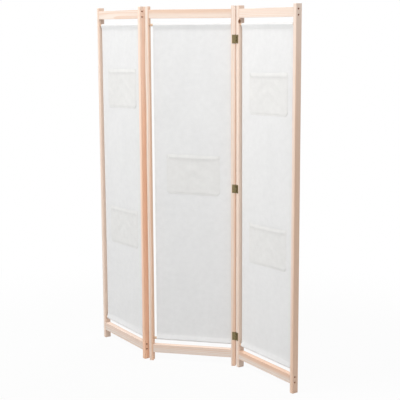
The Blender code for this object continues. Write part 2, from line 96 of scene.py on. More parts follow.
BOARD_RELIEF = 0.00012


def add_node(tree, kind, inputs=None, **options):
    """A node with its options set, and each input set to a value or linked to a socket."""
    made = tree.nodes.new(kind)
    for option, value in options.items():
        setattr(made, option, value)
    for key, value in (inputs or {}).items():
        if isinstance(value, bpy.types.NodeSocket):
            tree.links.new(value, made.inputs[key])
        else:
            made.inputs[key].default_value = value
    return made


def calc(tree, operation, first, second=0.0, third=0.0, **options):
    return add_node(tree, "ShaderNodeMath", {0: first, 1: second, 2: third},
                    operation=operation, **options).outputs[0]


def move(tree, operation, first, second):
    return add_node(tree, "ShaderNodeVectorMath", {0: first, 1: second},
                    operation=operation).outputs[0]


def distance(tree, vector):
    return add_node(tree, "ShaderNodeVectorMath", {0: vector}, operation="LENGTH").outputs["Value"]


def ease(tree, value, low, high, start=0.0, finish=1.0):
    """value eased from low..high to start..finish."""
    return add_node(tree, "ShaderNodeMapRange", {0: value, 1: low, 2: high, 3: start, 4: finish},
                    interpolation_type="SMOOTHSTEP").outputs[0]


def blotch(tree, place, stretch, detail=2.0):
    """Noise between 0 and 1, stretch being how often it varies in a metre along each axis."""
    return add_node(tree, "ShaderNodeTexNoise", {
        "Vector": move(tree, "MULTIPLY", place, stretch), "Scale": 1.0, "Detail": detail}).outputs


def tint(tree, share, low, high, blend="MIX"):
    return add_node(tree, "ShaderNodeMix", {0: share, 6: low, 7: high},
                    data_type="RGBA", blend_type=blend).outputs[2]


def start_group(name, takes):
    """A shader node group for one kind of figure, its inputs given as (name, kind, value)."""
    tree = bpy.data.node_groups.new(name, "ShaderNodeTree")
    for label, kind, value in takes:
        socket = tree.interface.new_socket(label, in_out="INPUT", socket_type=f"NodeSocket{kind}")
        if value is not None:
            socket.default_value = value
    for label, kind in (("Color", "Color"), ("Roughness", "Float"), ("Height", "Float")):
        tree.interface.new_socket(label, in_out="OUTPUT", socket_type=f"NodeSocket{kind}")
    return tree, tree.nodes.new("NodeGroupInput").outputs


def finish_group(tree, colour, roughness, height):
    add_node(tree, "NodeGroupOutput", {"Color": colour, "Roughness": roughness, "Height": height})
    return tree


def make_grain():
    """Growth rings, long streaks and fibres of a board whose length runs along Z."""
    tree, given = start_group("board grain", [
        ("Vector", "Vector", None), ("Pith", "Vector", (0.05, 0.09, 0.0)),
        ("Ring Width", "Float", 0.004), ("Late Wood", "Float", 0.5), ("Streaks", "Float", 0.5),
        ("Heartwood", "Float", 0.5), ("Heart Side", "Float", 1.0), ("Heart Slant", "Float", 0.0),
        ("Dark Spot", "Vector", (0.0, 0.0, -1.0)), ("Dark Spot Colour", "Color", None),
        ("Bored Size", "Vector", (0.0, 0.0, 0.0)), ("Bore Shade Colour", "Color", None),
        ("Pale", "Color", None), ("Late", "Color", None), ("Heart", "Color", None)])
    place = given["Vector"]
    across, back, along = add_node(tree, "ShaderNodeSeparateXYZ", {0: place}).outputs

    drift = blotch(tree, place, DRIFT_STRETCH, detail=1.0)["Color"]
    drift = move(tree, "MULTIPLY", move(tree, "SUBTRACT", drift, (0.5, 0.5, 0.5)),
                 (RING_DRIFT, RING_DRIFT, 0.0))
    from_pith = move(tree, "SUBTRACT", move(tree, "ADD", place, drift), given["Pith"])
    radius = distance(tree, move(tree, "MULTIPLY", from_pith, (1.0, 1.0, 0.0)))
    ring = calc(tree, "FRACT", calc(tree, "DIVIDE", radius, given["Ring Width"]))
    late = calc(tree, "MULTIPLY", ease(tree, ring, *LATE_RISE),
                ease(tree, ring, *LATE_FALL, 1.0, 0.0))
    late = calc(tree, "MULTIPLY", late, given["Late Wood"])
    colour = tint(tree, late, given["Pale"], given["Late"])

    long_streak = blotch(tree, place, STREAK_STRETCH, detail=3.0)[0]
    streak = calc(tree, "MULTIPLY", ease(tree, long_streak, *STREAK_EDGE), given["Streaks"])
    wander = calc(tree, "MULTIPLY_ADD", blotch(tree, place, WANDER_STRETCH)[0],
                  HEART_WANDER, -HEART_WANDER / 2)
    side = calc(tree, "MULTIPLY_ADD", across, given["Heart Side"], wander)
    side = calc(tree, "MULTIPLY_ADD", calc(tree, "SUBTRACT", SLANT_LEVEL, along),
                given["Heart Slant"], side)
    heart = calc(tree, "MULTIPLY", ease(tree, side, *HEART_EDGE), given["Heartwood"])
    warm = calc(tree, "MAXIMUM", heart, calc(tree, "MULTIPLY", streak, STREAK_TINT))
    colour = tint(tree, warm, colour, given["Heart"])

    fibre = blotch(tree, place, FIBRE_STRETCH)[0]
    cloudy = blotch(tree, place, CLOUDY_STRETCH)[0]
    shade = calc(tree, "MULTIPLY_ADD", fibre, FIBRE_SHADE, 1 - FIBRE_SHADE / 2)
    shade = calc(tree, "MULTIPLY", shade, calc(
        tree, "MULTIPLY_ADD", cloudy, CLOUDY_SHADE, 1 - CLOUDY_SHADE / 2))
    grey = add_node(tree, "ShaderNodeCombineColor", {0: shade, 1: shade, 2: shade}).outputs[0]
    colour = tint(tree, 1.0, colour, grey, "MULTIPLY")

    # Bored Size is the board's half width, half depth and whole length, or 0 where it isn't bored
    half_across, half_back, length = add_node(
        tree, "ShaderNodeSeparateXYZ", {0: given["Bored Size"]}).outputs
    inside = calc(tree, "MINIMUM", along, calc(tree, "SUBTRACT", length, along))
    for half, part in ((half_across, across), (half_back, back)):
        under_face = calc(tree, "SUBTRACT", half, calc(tree, "ABSOLUTE", part))
        inside = calc(tree, "MINIMUM", inside, under_face)
    # The walls of holes bored into the board are painted dark brown: painted shade
    colour = tint(tree, ease(tree, inside, *BORE_EDGE), colour, given["Bore Shade Colour"])

    # A small dark brown spot painted round a given place on the board
    to_dark_spot = move(tree, "MULTIPLY", move(tree, "SUBTRACT", place, given["Dark Spot"]), DARK_SPOT_STRETCH)
    dark_spot = ease(tree, distance(tree, to_dark_spot), *DARK_SPOT_EDGE, 1.0, 0.0)
    colour = tint(tree, dark_spot, colour, given["Dark Spot Colour"])
    roughness = calc(tree, "MULTIPLY_ADD", late, LATE_ROUGHNESS, calc(
        tree, "MULTIPLY_ADD", fibre, FIBRE_ROUGHNESS, BOARD_ROUGHNESS))
    return finish_group(tree, colour, roughness,
                        calc(tree, "MULTIPLY_ADD", late, LATE_RIDGE, fibre))


board_grain = make_grain()


def start_material(name):
    material = bpy.data.materials.new(name)
    material.use_nodes = True
    tree = material.node_tree
    return material, tree, tree.nodes["Principled BSDF"]


def own_place(tree):
    """Each point's place in the object's own frame."""
    return tree.nodes.new("ShaderNodeTexCoord").outputs["Object"]


def add_figure(tree, shader, group, values, relief):
    """A group's colour, roughness and height on the shader, relief being the height in metres."""
    figure = add_node(tree, "ShaderNodeGroup", values, node_tree=group).outputs
    bump = add_node(tree, "ShaderNodeBump", {"Height": figure["Height"], "Distance": relief})
    tree.links.new(figure["Color"], shader.inputs["Base Color"])
    tree.links.new(figure["Roughness"], shader.inputs["Roughness"])
    tree.links.new(bump.outputs["Normal"], shader.inputs["Normal"])


def board_material(name, board, values):
    """Pine for one board, board being the frame in which it is centred and lies along Z."""
    material, tree, shader = start_material(name)
    shader.inputs["Specular IOR Level"].default_value = 0.35
    into = board.inverted()
    place = add_node(tree, "ShaderNodeMapping", {
        "Vector": own_place(tree), "Location": into.translation, "Rotation": into.to_euler()})
    add_figure(tree, shader, board_grain, {
        "Vector": place.outputs[0], "Pale": BOARD_PALE, "Late": BOARD_LATE, "Heart": BOARD_HEART,
        "Dark Spot Colour": DARK_SPOT_BROWN, "Bore Shade Colour": BORE_SHADE_BROWN, **values}, BOARD_RELIEF)
    return material


def dress(node, material):
    """A finish for a piece of the frame that keeps its shape."""
    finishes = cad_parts[node].data.materials
    if finishes:
        for index in range(len(finishes)):
            finishes[index] = material
    else:
        finishes.append(material)


# Where the middle of the tree lay, how strongly the streaks and the heartwood show, and how far
# the heartwood's edge moves across for each metre down the board
STILES = {
    "left_outer": ("left", -1, {
        "Pith": (0.03, 0.12, 0.4), "Streaks": 0.35, "Heartwood": 0.25}),
    "left_inner": ("left", 1, {
        "Pith": (-0.07, 0.10, 0.1), "Streaks": 0.45, "Heartwood": 0.65, "Heart Slant": 0.018,
        # paler and warmer than the other boards: partly its own tone, partly painted light on its
        # side face at the left fold
        "Pale": (0.970, 0.790, 0.675, 1.0), "Heart": (0.900, 0.500, 0.300, 1.0)}),
    "centre_left": ("centre", -1, {
        "Pith": (0.06, 0.15, 0.7), "Streaks": 0.70, "Heartwood": 0.75, "Heart Slant": 0.003}),
    "centre_right": ("centre", 1, {
        "Pith": (0.09, 0.11, 1.2), "Streaks": 0.40, "Heartwood": 0.60, "Heart Slant": 0.010}),
    "right_inner": ("right", -1, {
        "Pith": (-0.05, 0.09, 0.9), "Streaks": 0.35, "Heartwood": 0.20,
        # a small dark brown spot on its inner face, just under the top rail
        "Dark Spot": (0.010, -0.012, 1.629)}),
    "right_outer": ("right", 1, {
        "Pith": (-0.08, 0.07, 0.5), "Streaks": 0.50, "Heartwood": 0.55, "Heart Slant": 0.010})}
STILE_BORED = (STILE_WIDTH / 2, STILE_DEPTH / 2, SCREEN_HEIGHT)
for stile, (panel, way, values) in STILES.items():
    middle = Matrix.Translation(
        (way * (HALF_PANEL - STILE_WIDTH / 2), STILE_DEPTH / 2 - ROD_PLANE, 0))
    dress(f"{stile}_stile", board_material(
        f"pine_{stile}_stile", panels[panel] @ middle, {"Bored Size": STILE_BORED, **values}))

RAIL_MIDDLES = {"top": 1.665, "bottom": 0.062}
RAILS = {
    "left_top": {"Pith": (0.02, 0.08, 0.0), "Streaks": 0.30, "Heartwood": 0.10},
    "centre_top": {"Pith": (-0.10, 0.09, 0.0), "Streaks": 0.30, "Heartwood": 0.45},
    "right_top": {"Pith": (0.09, 0.10, 0.0), "Streaks": 0.15, "Heartwood": 0.05},
    "left_bottom": {
        "Pith": (0.05, 0.09, 0.0), "Streaks": 0.35, "Heartwood": 0.20, "Pale": BOTTOM_SHADED_PALE},
    "centre_bottom": {
        "Pith": (-0.06, 0.10, 0.0), "Streaks": 0.30, "Heartwood": 0.25, "Pale": BOTTOM_SHADED_PALE},
    "right_bottom": {
        "Pith": (0.08, 0.12, 0.0), "Streaks": 0.40, "Heartwood": 0.60, "Pale": BOTTOM_SHADED_PALE}}
LYING = Matrix.Rotation(math.pi / 2, 4, "Y")     # a board's length from up to across
for rail, values in RAILS.items():
    panel, end = rail.split("_")
    middle = Matrix.Translation((0, 0, RAIL_MIDDLES[end])) @ LYING
    dress(f"{rail}_rail", board_material(
        f"pine_{rail}_rail", panels[panel] @ middle, {"Heart Side": -1.0, **values}))

# Rods
# Turned softwood dowels, one in the tunnel at each end of every cloth. Their ends stand in blind
# holes bored in the inner faces of the stiles, so they need no glue or nails.
ROD_HEIGHTS = {"top": 1.615, "bottom": 0.112}
ROD_PALE = (0.760, 0.560, 0.390, 1.0)
for panel in panels:
    for end, height in ROD_HEIGHTS.items():
        lying = panels[panel] @ Matrix.Translation((0, 0, height)) @ LYING
        dress(f"{panel}_{end}_rod", board_material(f"dowel_{panel}_{end}", lying, {
            "Pith": (0.03, 0.05, height), "Ring Width": 0.0025, "Streaks": 0.5, "Heartwood": 0.2,
            "Pale": ROD_PALE}))

# Frame screws
# Two pan-head screws with a cross recess, plated with yellow zinc, hold each end of each rail.
# Their heads stand at the bottom of the stiles' counterbores; their zinc is painted dark brown,
# its own tone with painted shade of the counterbores.
SCREW_LENGTH = 0.045
SCREW_POINT = 0.006
SCREW_PLAIN = 0.018                  # length of the shank above the thread
SCREW_SHANK = 0.0016
SCREW_CORE = 0.00135
SCREW_THREAD = 0.00195
SCREW_PITCH = 0.0022
SCREW_RIDGE = 0.55                   # share of the pitch that the thread's ridge takes
SCREW_TIP = 0.00004
SCREW_HEAD = ((0.0, 0.0026), (0.0012, 0.0026), (0.0022, 0.0024), (0.0030, 0.0020),
              (0.0036, 0.0013), (0.0038, 0.0006), (0.0037, 0.0), (0.0016, 0.0))
SCREW_RECESS = {"middle": 0.0026, "width": 0.0009, "span": 0.0042, "depth": 0.0014}
SCREW_CENTRE = 0.0002                # radius of the flat in the middle of the head
SCREW_SIDES = 12
SCREW_RING = SCREW_PITCH / 4         # between the rings of points along the thread
SCREW_SEAT = 0.0062                  # depth of the head's underside in its stile
SCREW_TURNS = (0.4, 0.7)             # of a stile's lowest screw, and more for each one above it
SCREW_HEIGHTS = {"bottom_lower": 0.0495, "bottom_upper": 0.0745, "top_lower": 1.6525,
                 "top_upper": 1.6775}
RECESS_TAPER = 0.45                  # width of a cross recess at its foot, as a share of its top
SHARP_CORNER = math.radians(40.0)
# A yellow zinc painted dark brown: the plating's tone with painted shade of the counterbores the
# heads sit in
ZINC_CLEAN_SHADED = (0.340, 0.155, 0.055, 1.0)
ZINC_DULL_SHADED = (0.130, 0.052, 0.020, 1.0)
PATCH_EDGE = (0.35, 0.70)
SCRATCH_STRETCH = (500.0, 500.0, 9000.0)
DULL_ROUGHNESS = 0.25
SCRATCH_ROUGHNESS = 0.15
PATCH_RIDGE = 0.5                    # height of the dull patches, as a share of the scratches'
METAL_RELIEF = 0.00002


def make_patina():
    """Metal that has dulled in patches, with fine scratches."""
    tree, given = start_group("metal patina", [
        ("Vector", "Vector", None), ("Patches", "Float", 300.0), ("Clean", "Color", None),
        ("Dull", "Color", None), ("Dullness", "Float", 0.5), ("Base Roughness", "Float", 0.3)])
    patches = add_node(tree, "ShaderNodeTexNoise", {
        "Vector": given["Vector"], "Scale": given["Patches"], "Detail": 3.0}).outputs[0]
    dull = calc(tree, "MULTIPLY", ease(tree, patches, *PATCH_EDGE), given["Dullness"])
    scratch = blotch(tree, given["Vector"], SCRATCH_STRETCH)[0]
    roughness = calc(tree, "MULTIPLY_ADD", dull, DULL_ROUGHNESS, calc(
        tree, "MULTIPLY_ADD", scratch, SCRATCH_ROUGHNESS, given["Base Roughness"]))
    return finish_group(tree, tint(tree, dull, given["Clean"], given["Dull"]), roughness,
                        calc(tree, "MULTIPLY_ADD", patches, PATCH_RIDGE, scratch))


metal_patina = make_patina()


def metal_material(name, clean, dull, dullness, roughness):
    material, tree, shader = start_material(name)
    shader.inputs["Metallic"].default_value = 1.0
    add_figure(tree, shader, metal_patina, {
        "Vector": own_place(tree), "Clean": clean, "Dull": dull, "Dullness": dullness,
        "Base Roughness": roughness}, METAL_RELIEF)
    return material


zinc = metal_material("yellow_zinc_shaded", ZINC_CLEAN_SHADED, ZINC_DULL_SHADED, dullness=0.7, roughness=0.35)


def mesh_of(bm, name):
    """A mesh with its faces pointing out."""
    bmesh.ops.recalc_face_normals(bm, faces=bm.faces)
    mesh = bpy.data.meshes.new(name)
    bm.to_mesh(mesh)
    bm.free()
    return mesh


def add_object(name, data):
    made = bpy.data.objects.new(name, data)
    bpy.context.scene.collection.objects.link(made)
    return made


def turned(profile, least):
    """Rings for a lathe, round ones, with no radius under the least."""
    return [(lambda turn, radius=max(radius, least): radius, height) for radius, height in profile]


def skin(bm, loops):
    """Quads from each closed loop of points to the next, and a face over either end."""
    for upper, lower in zip(loops, loops[1:]):
        for step in range(len(upper)):
            bm.faces.new((upper[step - 1], upper[step], lower[step], lower[step - 1]))
    bm.faces.new(loops[0])
    bm.faces.new(loops[-1])


def lathe(bm, rings, sides):
    """A closed skin through rings of (radius at an angle, height), the end ones very small."""
    turns = [2 * math.pi * step / sides for step in range(sides)]
    skin(bm, [[bm.verts.new((radius(turn) * math.cos(turn), radius(turn) * math.sin(turn), height))
               for turn in turns] for radius, height in rings])


def recessed(mesh, cutters):
    """The mesh with the cutters taken out of it, one after the other."""
    body = add_object(mesh.name, mesh)
    for number, blade in enumerate(cutters):
        cut = body.modifiers.new(f"cut_{number}", "BOOLEAN")
        cut.operation, cut.solver = "DIFFERENCE", "EXACT"
        cut.object = add_object(f"blade_{number}", blade)
    graph = bpy.context.evaluated_depsgraph_get()
    made = bpy.data.meshes.new_from_object(body.evaluated_get(graph))
    for helper in [cut.object for cut in body.modifiers] + [body]:
        bpy.data.objects.remove(helper, do_unlink=True)
    return made


def blades(middle, width, span, depth):
    """The two crossed wedges that cut a recess, a mesh each, depth up and down from the middle."""
    made = []
    for long_way, short_way in ((span, width), (width, span)):
        bm = bmesh.new()
        for vert in bmesh.ops.create_cube(bm, size=1.0)["verts"]:
            share, level = (1.0, depth) if vert.co.z > 0 else (RECESS_TAPER, -depth)
            vert.co = (vert.co.x * long_way * share, vert.co.y * short_way * share, middle + level)
        made.append(mesh_of(bm, "blade"))
    return made


def smooth_metal(mesh, finish):
    mesh.shade_smooth()
    mesh.set_sharp_from_angle(angle=SHARP_CORNER)
    mesh.materials.append(finish)
    return mesh


def thread_radius(depth):
    """The shank's radius at a depth below the head, as it changes round the screw."""
    taper = min(1.0, (SCREW_LENGTH - depth) / SCREW_POINT)

    def radius(turn):
        if depth < SCREW_PLAIN:
            return SCREW_SHANK
        phase = (depth / SCREW_PITCH + turn / (2 * math.pi)) % 1
        ridge = max(0.0, 1 - abs(2 * phase - 1) / SCREW_RIDGE)
        return taper * (SCREW_CORE + (SCREW_THREAD - SCREW_CORE) * ridge) + SCREW_TIP
    return radius


def make_screw():
    bm = bmesh.new()
    rings = turned(SCREW_HEAD, SCREW_CENTRE)
    depth = SCREW_PLAIN / 2
    while depth < SCREW_LENGTH:
        rings.append((thread_radius(depth), -depth))
        depth += SCREW_RING if depth >= SCREW_PLAIN - SCREW_RING else SCREW_PLAIN / 2
    rings.append((thread_radius(SCREW_LENGTH), -SCREW_LENGTH))
    lathe(bm, rings, SCREW_SIDES)
    return smooth_metal(recessed(mesh_of(bm, "frame_screw"), blades(**SCREW_RECESS)), zinc)


def place_piece(name, mesh, where, body):
    """A new piece that rides on a body."""
    piece = add_object(name, mesh)
    piece.matrix_world = where
    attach(piece, body)
    return piece


screw_mesh = make_screw()
for stile, (panel, way, _) in STILES.items():
    for number, (hole, height) in enumerate(SCREW_HEIGHTS.items()):
        seat = Matrix.Translation((way * (HALF_PANEL - SCREW_SEAT), 0, height))
        turn = SCREW_TURNS[0] + SCREW_TURNS[1] * number + way
        driven = seat @ Matrix.Rotation(way * math.pi / 2, 4, "Y") @ Matrix.Rotation(turn, 4, "Z")
        screw = place_piece(f"{stile}_{hole}_driven_screw", screw_mesh, panels[panel] @ driven,
                            f"{panel}_panel")
        if panel != "centre":
            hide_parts(f"{stile}_{hole}_screw")

# Cloths
# One strip of plain-woven off-white cloth per panel, its long edges turned back and stitched. Each
# end is folded round a rod and stitched down behind, so that the strip hangs between the two rods.
CLOTH_WIDTH = 0.367
CLOTH_SLIPS = {"left": 0.0, "centre": 0.007, "right": 0.0}     # to the right along the rods
LAYER = 0.00038                      # thickness of the cloth
FOLD_STEP = 0.00043                  # from one layer to the next where the cloth is turned back
HEM_EASE = 0.0008                    # width in which the raw edge of a hem comes down to the cloth
FOLD_SHARE = 0.25                    # of the thickness at the very edge of a fold
FOLD_ROUND = 0.0006                  # how far from a fold its roundness reaches
SIDE_HEM = 0.012
LOOP_RADIUS = 0.0068
STITCH_FROM_ROD = 0.0217
TAIL = 0.008                         # cloth left beyond the tunnel's stitch line
SHEET_PLANE = -0.00065
TAIL_PLANE = 0.00065
WAVE_HEIGHT = 0.0010
WAVE_LENGTH = 0.250
PUCKER_HEIGHT = 0.00022
PUCKER_REACH = 0.012
PUCKERS = ((0.0170, 0.3), (0.0113, 1.9), (0.0271, 4.1))       # length and phase
TAIL_STEPS = 4
SLOPE_STEPS = 5
LOOP_STEPS = 32
STRIP_ROWS = 120
EDGE_STEPS = (0.0, 0.0003, 0.0010, 0.0060, 0.0090, 0.0098, 0.0106, 0.0116, 0.0124, 0.0150)
STRIP_COLUMNS = 34
TOP_STITCH = ROD_HEIGHTS["top"] - STITCH_FROM_ROD
BOTTOM_STITCH = ROD_HEIGHTS["bottom"] + STITCH_FROM_ROD
SIDE_STITCH = 0.0098                 # from the cloth's edge
STITCH_PITCH = 0.005
STITCH_STEPS = ((0.05, 0), (0.58, 0), (0.70, 1), (0.93, 1))   # share of a stitch, and face
THREAD_RADIUS = 0.00020
THREAD_PROUD = THREAD_RADIUS / 3     # of the thread's middle, off the cloth
TUNNEL_SEAM_END = 0.002              # from the cloth's edge
SIDE_SEAM_END = 0.004                # from the tunnel's seam
CLOTH_WHITE = (0.860, 0.861, 0.864, 1.0)
CLOTH_SHADE = (0.700, 0.701, 0.704, 1.0)
THREAD_WHITE = (0.800, 0.800, 0.780, 1.0)
# How often the thick places of the threads and the cloudy patches vary in a metre
WEFT_SLUBS = (45.0, 10.0, 700.0)
WARP_SLUBS = (700.0, 10.0, 45.0)
MOTTLE_STRETCH = (38.0, 20.0, 38.0)
CLOUD_STRETCH = (9.0, 9.0, 7.0)
CLOUD_SHARE = 0.6
# Painted light and shade of the weave's relief: darker between the threads, lighter where a thread
# lies on top
WEAVE_LIGHT = 0.42                   # lightness between the threads
THREAD_LIGHT = 0.22                  # added where a thread lies on top
SLUB_LIGHT = 0.30                    # and where it is thick
WEAVE_ROUGHNESS = 0.95
THREAD_ROUGHNESS = -0.10
WEAVE_RELIEF = 0.00006
THREAD_RELIEF = 0.00003


def make_weave():
    """A plain weave with the thick and thin places of its threads and painted shade between them,
    in the plane of X and Z.
    """
    tree, given = start_group("plain weave", [
        ("Vector", "Vector", None), ("Thread Spacing", "Float", 0.0009), ("Slubs", "Float", 0.5),
        ("Mottling", "Float", 0.5), ("Light", "Color", None), ("Shade", "Color", None)])
    place = given["Vector"]
    parts = add_node(tree, "ShaderNodeSeparateXYZ", {0: place}).outputs
    lines = [calc(tree, "DIVIDE", parts[axis], given["Thread Spacing"]) for axis in ("X", "Z")]
    warp, weft = [calc(tree, "ABSOLUTE", calc(tree, "SINE", calc(tree, "MULTIPLY", line, math.pi)))
                  for line in lines]
    turn = calc(tree, "FLOORED_MODULO", calc(
        tree, "ADD", calc(tree, "FLOOR", lines[0]), calc(tree, "FLOOR", lines[1])), 2.0)
    over = add_node(tree, "ShaderNodeMix", {0: turn, 2: warp, 3: weft},
                    data_type="FLOAT").outputs[0]

    slub = calc(tree, "ADD", *(blotch(tree, place, stretch, detail=1.0)[0]
                               for stretch in (WEFT_SLUBS, WARP_SLUBS)))
    slub = calc(tree, "MULTIPLY", slub, given["Slubs"])
    mottle = blotch(tree, place, MOTTLE_STRETCH, detail=4.0)[0]
    cloud = calc(tree, "MULTIPLY", blotch(tree, place, CLOUD_STRETCH)[0], CLOUD_SHARE)
    patch = calc(tree, "SUBTRACT", calc(tree, "ADD", mottle, cloud), (1 + CLOUD_SHARE) / 2)
    patch = calc(tree, "MULTIPLY", patch, given["Mottling"])
    light = calc(tree, "MULTIPLY_ADD", over, THREAD_LIGHT, calc(
        tree, "MULTIPLY_ADD", slub, SLUB_LIGHT, WEAVE_LIGHT))
    light = calc(tree, "ADD", light, patch, use_clamp=True)
    return finish_group(tree, tint(tree, light, given["Shade"], given["Light"]),
                        calc(tree, "MULTIPLY_ADD", over, THREAD_ROUGHNESS, WEAVE_ROUGHNESS),
                        calc(tree, "ADD", over, slub))


plain_weave = make_weave()


def cloth_material(name, light, shade, values, relief=WEAVE_RELIEF):
    material, tree, shader = start_material(name)
    shader.inputs["Specular IOR Level"].default_value = 0.2
    shader.inputs["Sheen Weight"].default_value = 0.10
    shader.inputs["Sheen Roughness"].default_value = 0.6
    add_figure(tree, shader, plain_weave, {
        "Vector": own_place(tree), "Light": light, "Shade": shade, **values}, relief)
    return material


sheet_cloth = cloth_material("sheet_cloth", CLOTH_WHITE, CLOTH_SHADE, {})
sewing_thread = cloth_material("sewing_thread", THREAD_WHITE, CLOTH_SHADE, {
    "Thread Spacing": 0.0004, "Mottling": 0.2}, THREAD_RELIEF)


def sheet_wave(across, height):
    """Slack ripples that die out at the stitch lines."""
    drop = (height - BOTTOM_STITCH) / (TOP_STITCH - BOTTOM_STITCH)
    if not 0 < drop < 1:
        return 0.0
    lean = math.pi * drop
    return WAVE_HEIGHT * math.sin(lean) * math.sin(2 * math.pi * across / WAVE_LENGTH + lean)


def pucker(across, height):
    """Small gathers where the stitches of the tunnels draw the cloth together."""
    gather = sum(math.sin(2 * math.pi * across / length + phase) for length, phase in PUCKERS)
    near = sum(math.exp(-((height - line) / PUCKER_REACH) ** 2)
               for line in (TOP_STITCH, BOTTOM_STITCH))
    return PUCKER_HEIGHT * gather * near / len(PUCKERS)


def between(start, finish, steps):
    """The points from start up to but not including finish."""
    return [tuple(a + (b - a) * step / steps for a, b in zip(start, finish))
            for step in range(steps)]


def loop(rod_height, up):
    """The cloth round a rod, from where it leaves the tail to where it meets the sheet."""
    sweep = math.pi - math.acos(LOOP_RADIUS / STITCH_FROM_ROD)
    turns = [sweep * (2 * step / LOOP_STEPS - 1) for step in range(LOOP_STEPS + 1)]
    return [(-LOOP_RADIUS * math.sin(turn), rod_height + up * LOOP_RADIUS * math.cos(turn))
            for turn in turns]


def strip_run():
    """The strip's run from tail to tail, as points of (depth, height)."""
    top, bottom = loop(ROD_HEIGHTS["top"], 1), loop(ROD_HEIGHTS["bottom"], -1)[::-1]
    tails = [(TAIL_PLANE, height) for height in (
        TOP_STITCH - TAIL, TOP_STITCH, BOTTOM_STITCH, BOTTOM_STITCH + TAIL)]
    sheet = [(SHEET_PLANE, height) for height in (TOP_STITCH, BOTTOM_STITCH)]
    run = between(tails[0], tails[1], TAIL_STEPS)
    run += between(tails[1], top[0], SLOPE_STEPS) + top[:-1]
    run += between(top[-1], sheet[0], SLOPE_STEPS) + between(sheet[0], sheet[1], STRIP_ROWS)
    run += between(sheet[1], bottom[0], SLOPE_STEPS) + bottom[:-1]
    run += between(bottom[-1], tails[2], SLOPE_STEPS)
    return run + between(tails[2], tails[3], TAIL_STEPS) + [tails[3]]


def smooth_cloth(bm, name):
    mesh = mesh_of(bm, name)
    mesh.shade_smooth()
    return mesh


def close_shell(name, rows):
    """A closed skin of quads round rows of points, each the cloth's front and back at a place."""
    bm = bmesh.new()
    grids = [[[bm.verts.new(faces[side]) for faces in row] for row in rows] for side in (0, 1)]
    for grid in grids:
        for upper, lower in zip(grid, grid[1:]):
            for column in range(len(upper) - 1):
                bm.faces.new((upper[column], upper[column + 1], lower[column + 1], lower[column]))
    rims = [grid[0] + [row[-1] for row in grid[1:-1]] + grid[-1][::-1]
            + [row[0] for row in grid[-2:0:-1]] for grid in grids]
    for step in range(len(rims[0])):
        bm.faces.new((rims[0][step - 1], rims[0][step], rims[1][step], rims[1][step - 1]))
    return smooth_cloth(bm, name)


def columns_of(width, steps, middle):
    """Places across a width: the edge's own steps at both sides and even ones between."""
    inner = width / 2 - steps[-1]
    left = [step - width / 2 for step in steps]
    even = [inner * (2 * number / middle - 1) for number in range(1, middle)]
    return left + even + [-place for place in left[::-1]]


def hem_back(from_edge, hem):
    """How much thicker the cloth is behind a hem, which ends at its raw edge."""
    return FOLD_STEP * min(1.0, max(0.0, (hem - from_edge) / HEM_EASE))


def fold_round(from_edge):
    """The share of its thickness that the cloth has near a folded edge, which rounds it off."""
    return min(1.0, FOLD_SHARE + from_edge / FOLD_ROUND)


def make_strip(name, slip):
    run = strip_run()
    places = columns_of(CLOTH_WIDTH, EDGE_STEPS, STRIP_COLUMNS)
    rows = [[] for _ in run]
    for number, (depth, height) in enumerate(run):
        before, after = run[max(number - 1, 0)], run[min(number + 1, len(run) - 1)]
        ahead = Vector((after[0] - before[0], after[1] - before[1])).normalized()
        out = Vector((ahead.y, -ahead.x))          # outside of the loop, the sheet's front
        for across in (slip + place for place in places):
            from_edge = CLOTH_WIDTH / 2 - abs(across - slip)
            spread = fold_round(from_edge)
            lift = pucker(across, height)
            if depth == SHEET_PLANE:
                lift += sheet_wave(across, height)
            faces = (LAYER / 2 * spread,
                     -LAYER / 2 * spread - hem_back(from_edge, SIDE_HEM) * spread)
            rows[number].append([(across, depth + lift + out.x * face, height + out.y * face)
                                 for face in faces])
    return close_shell(name, rows)


def sew(bm, points, faces, pitch=STITCH_PITCH):
    """Thread along points of (across, height), to and fro between the two faces of the cloth."""
    lengths = [math.dist(a, b) for a, b in zip(points, points[1:])]
    stitches = max(1, round(sum(lengths) / pitch))
    rings = []
    for stitch in range(stitches):
        for share, side in STITCH_STEPS:
            reach = (stitch + share) / stitches * sum(lengths)
            leg = 0
            while reach > lengths[leg] and leg < len(lengths) - 1:
                reach -= lengths[leg]
                leg += 1
            start, finish = Vector(points[leg]), Vector(points[leg + 1])
            spot = start.lerp(finish, reach / lengths[leg])
            aside = (finish - start).orthogonal().normalized() * THREAD_RADIUS
            depth = faces(spot.x, spot.y)[side]
            rings.append([bm.verts.new(corner) for corner in (
                (spot.x + aside.x, depth, spot.y + aside.y),
                (spot.x, depth + THREAD_RADIUS, spot.y),
                (spot.x - aside.x, depth, spot.y - aside.y),
                (spot.x, depth - THREAD_RADIUS, spot.y))])
    skin(bm, rings)


def sheet_faces(across, height):
    """Where the thread lies on the sheet's two faces."""
    middle = SHEET_PLANE + sheet_wave(across, height) + pucker(across, height)
    return middle - LAYER / 2 - THREAD_PROUD, middle + LAYER / 2 + FOLD_STEP + THREAD_PROUD


def tunnel_faces(across, height):
    """Where it lies on the front of the sheet and the back of the tail."""
    lift = pucker(across, height)
    return (SHEET_PLANE + lift - LAYER / 2 - THREAD_PROUD,
            TAIL_PLANE + lift + LAYER / 2 + THREAD_PROUD)


def make_strip_seams(name, slip):
    bm = bmesh.new()
    edge, end = CLOTH_WIDTH / 2 - SIDE_STITCH, CLOTH_WIDTH / 2 - TUNNEL_SEAM_END
    for side in (slip - edge, slip + edge):
        sew(bm, [(side, BOTTOM_STITCH + SIDE_SEAM_END), (side, TOP_STITCH - SIDE_SEAM_END)],
            sheet_faces)
    for height in (TOP_STITCH, BOTTOM_STITCH):
        sew(bm, [(slip - end, height), (slip + end, height)], tunnel_faces)
    return smooth_cloth(bm, name)


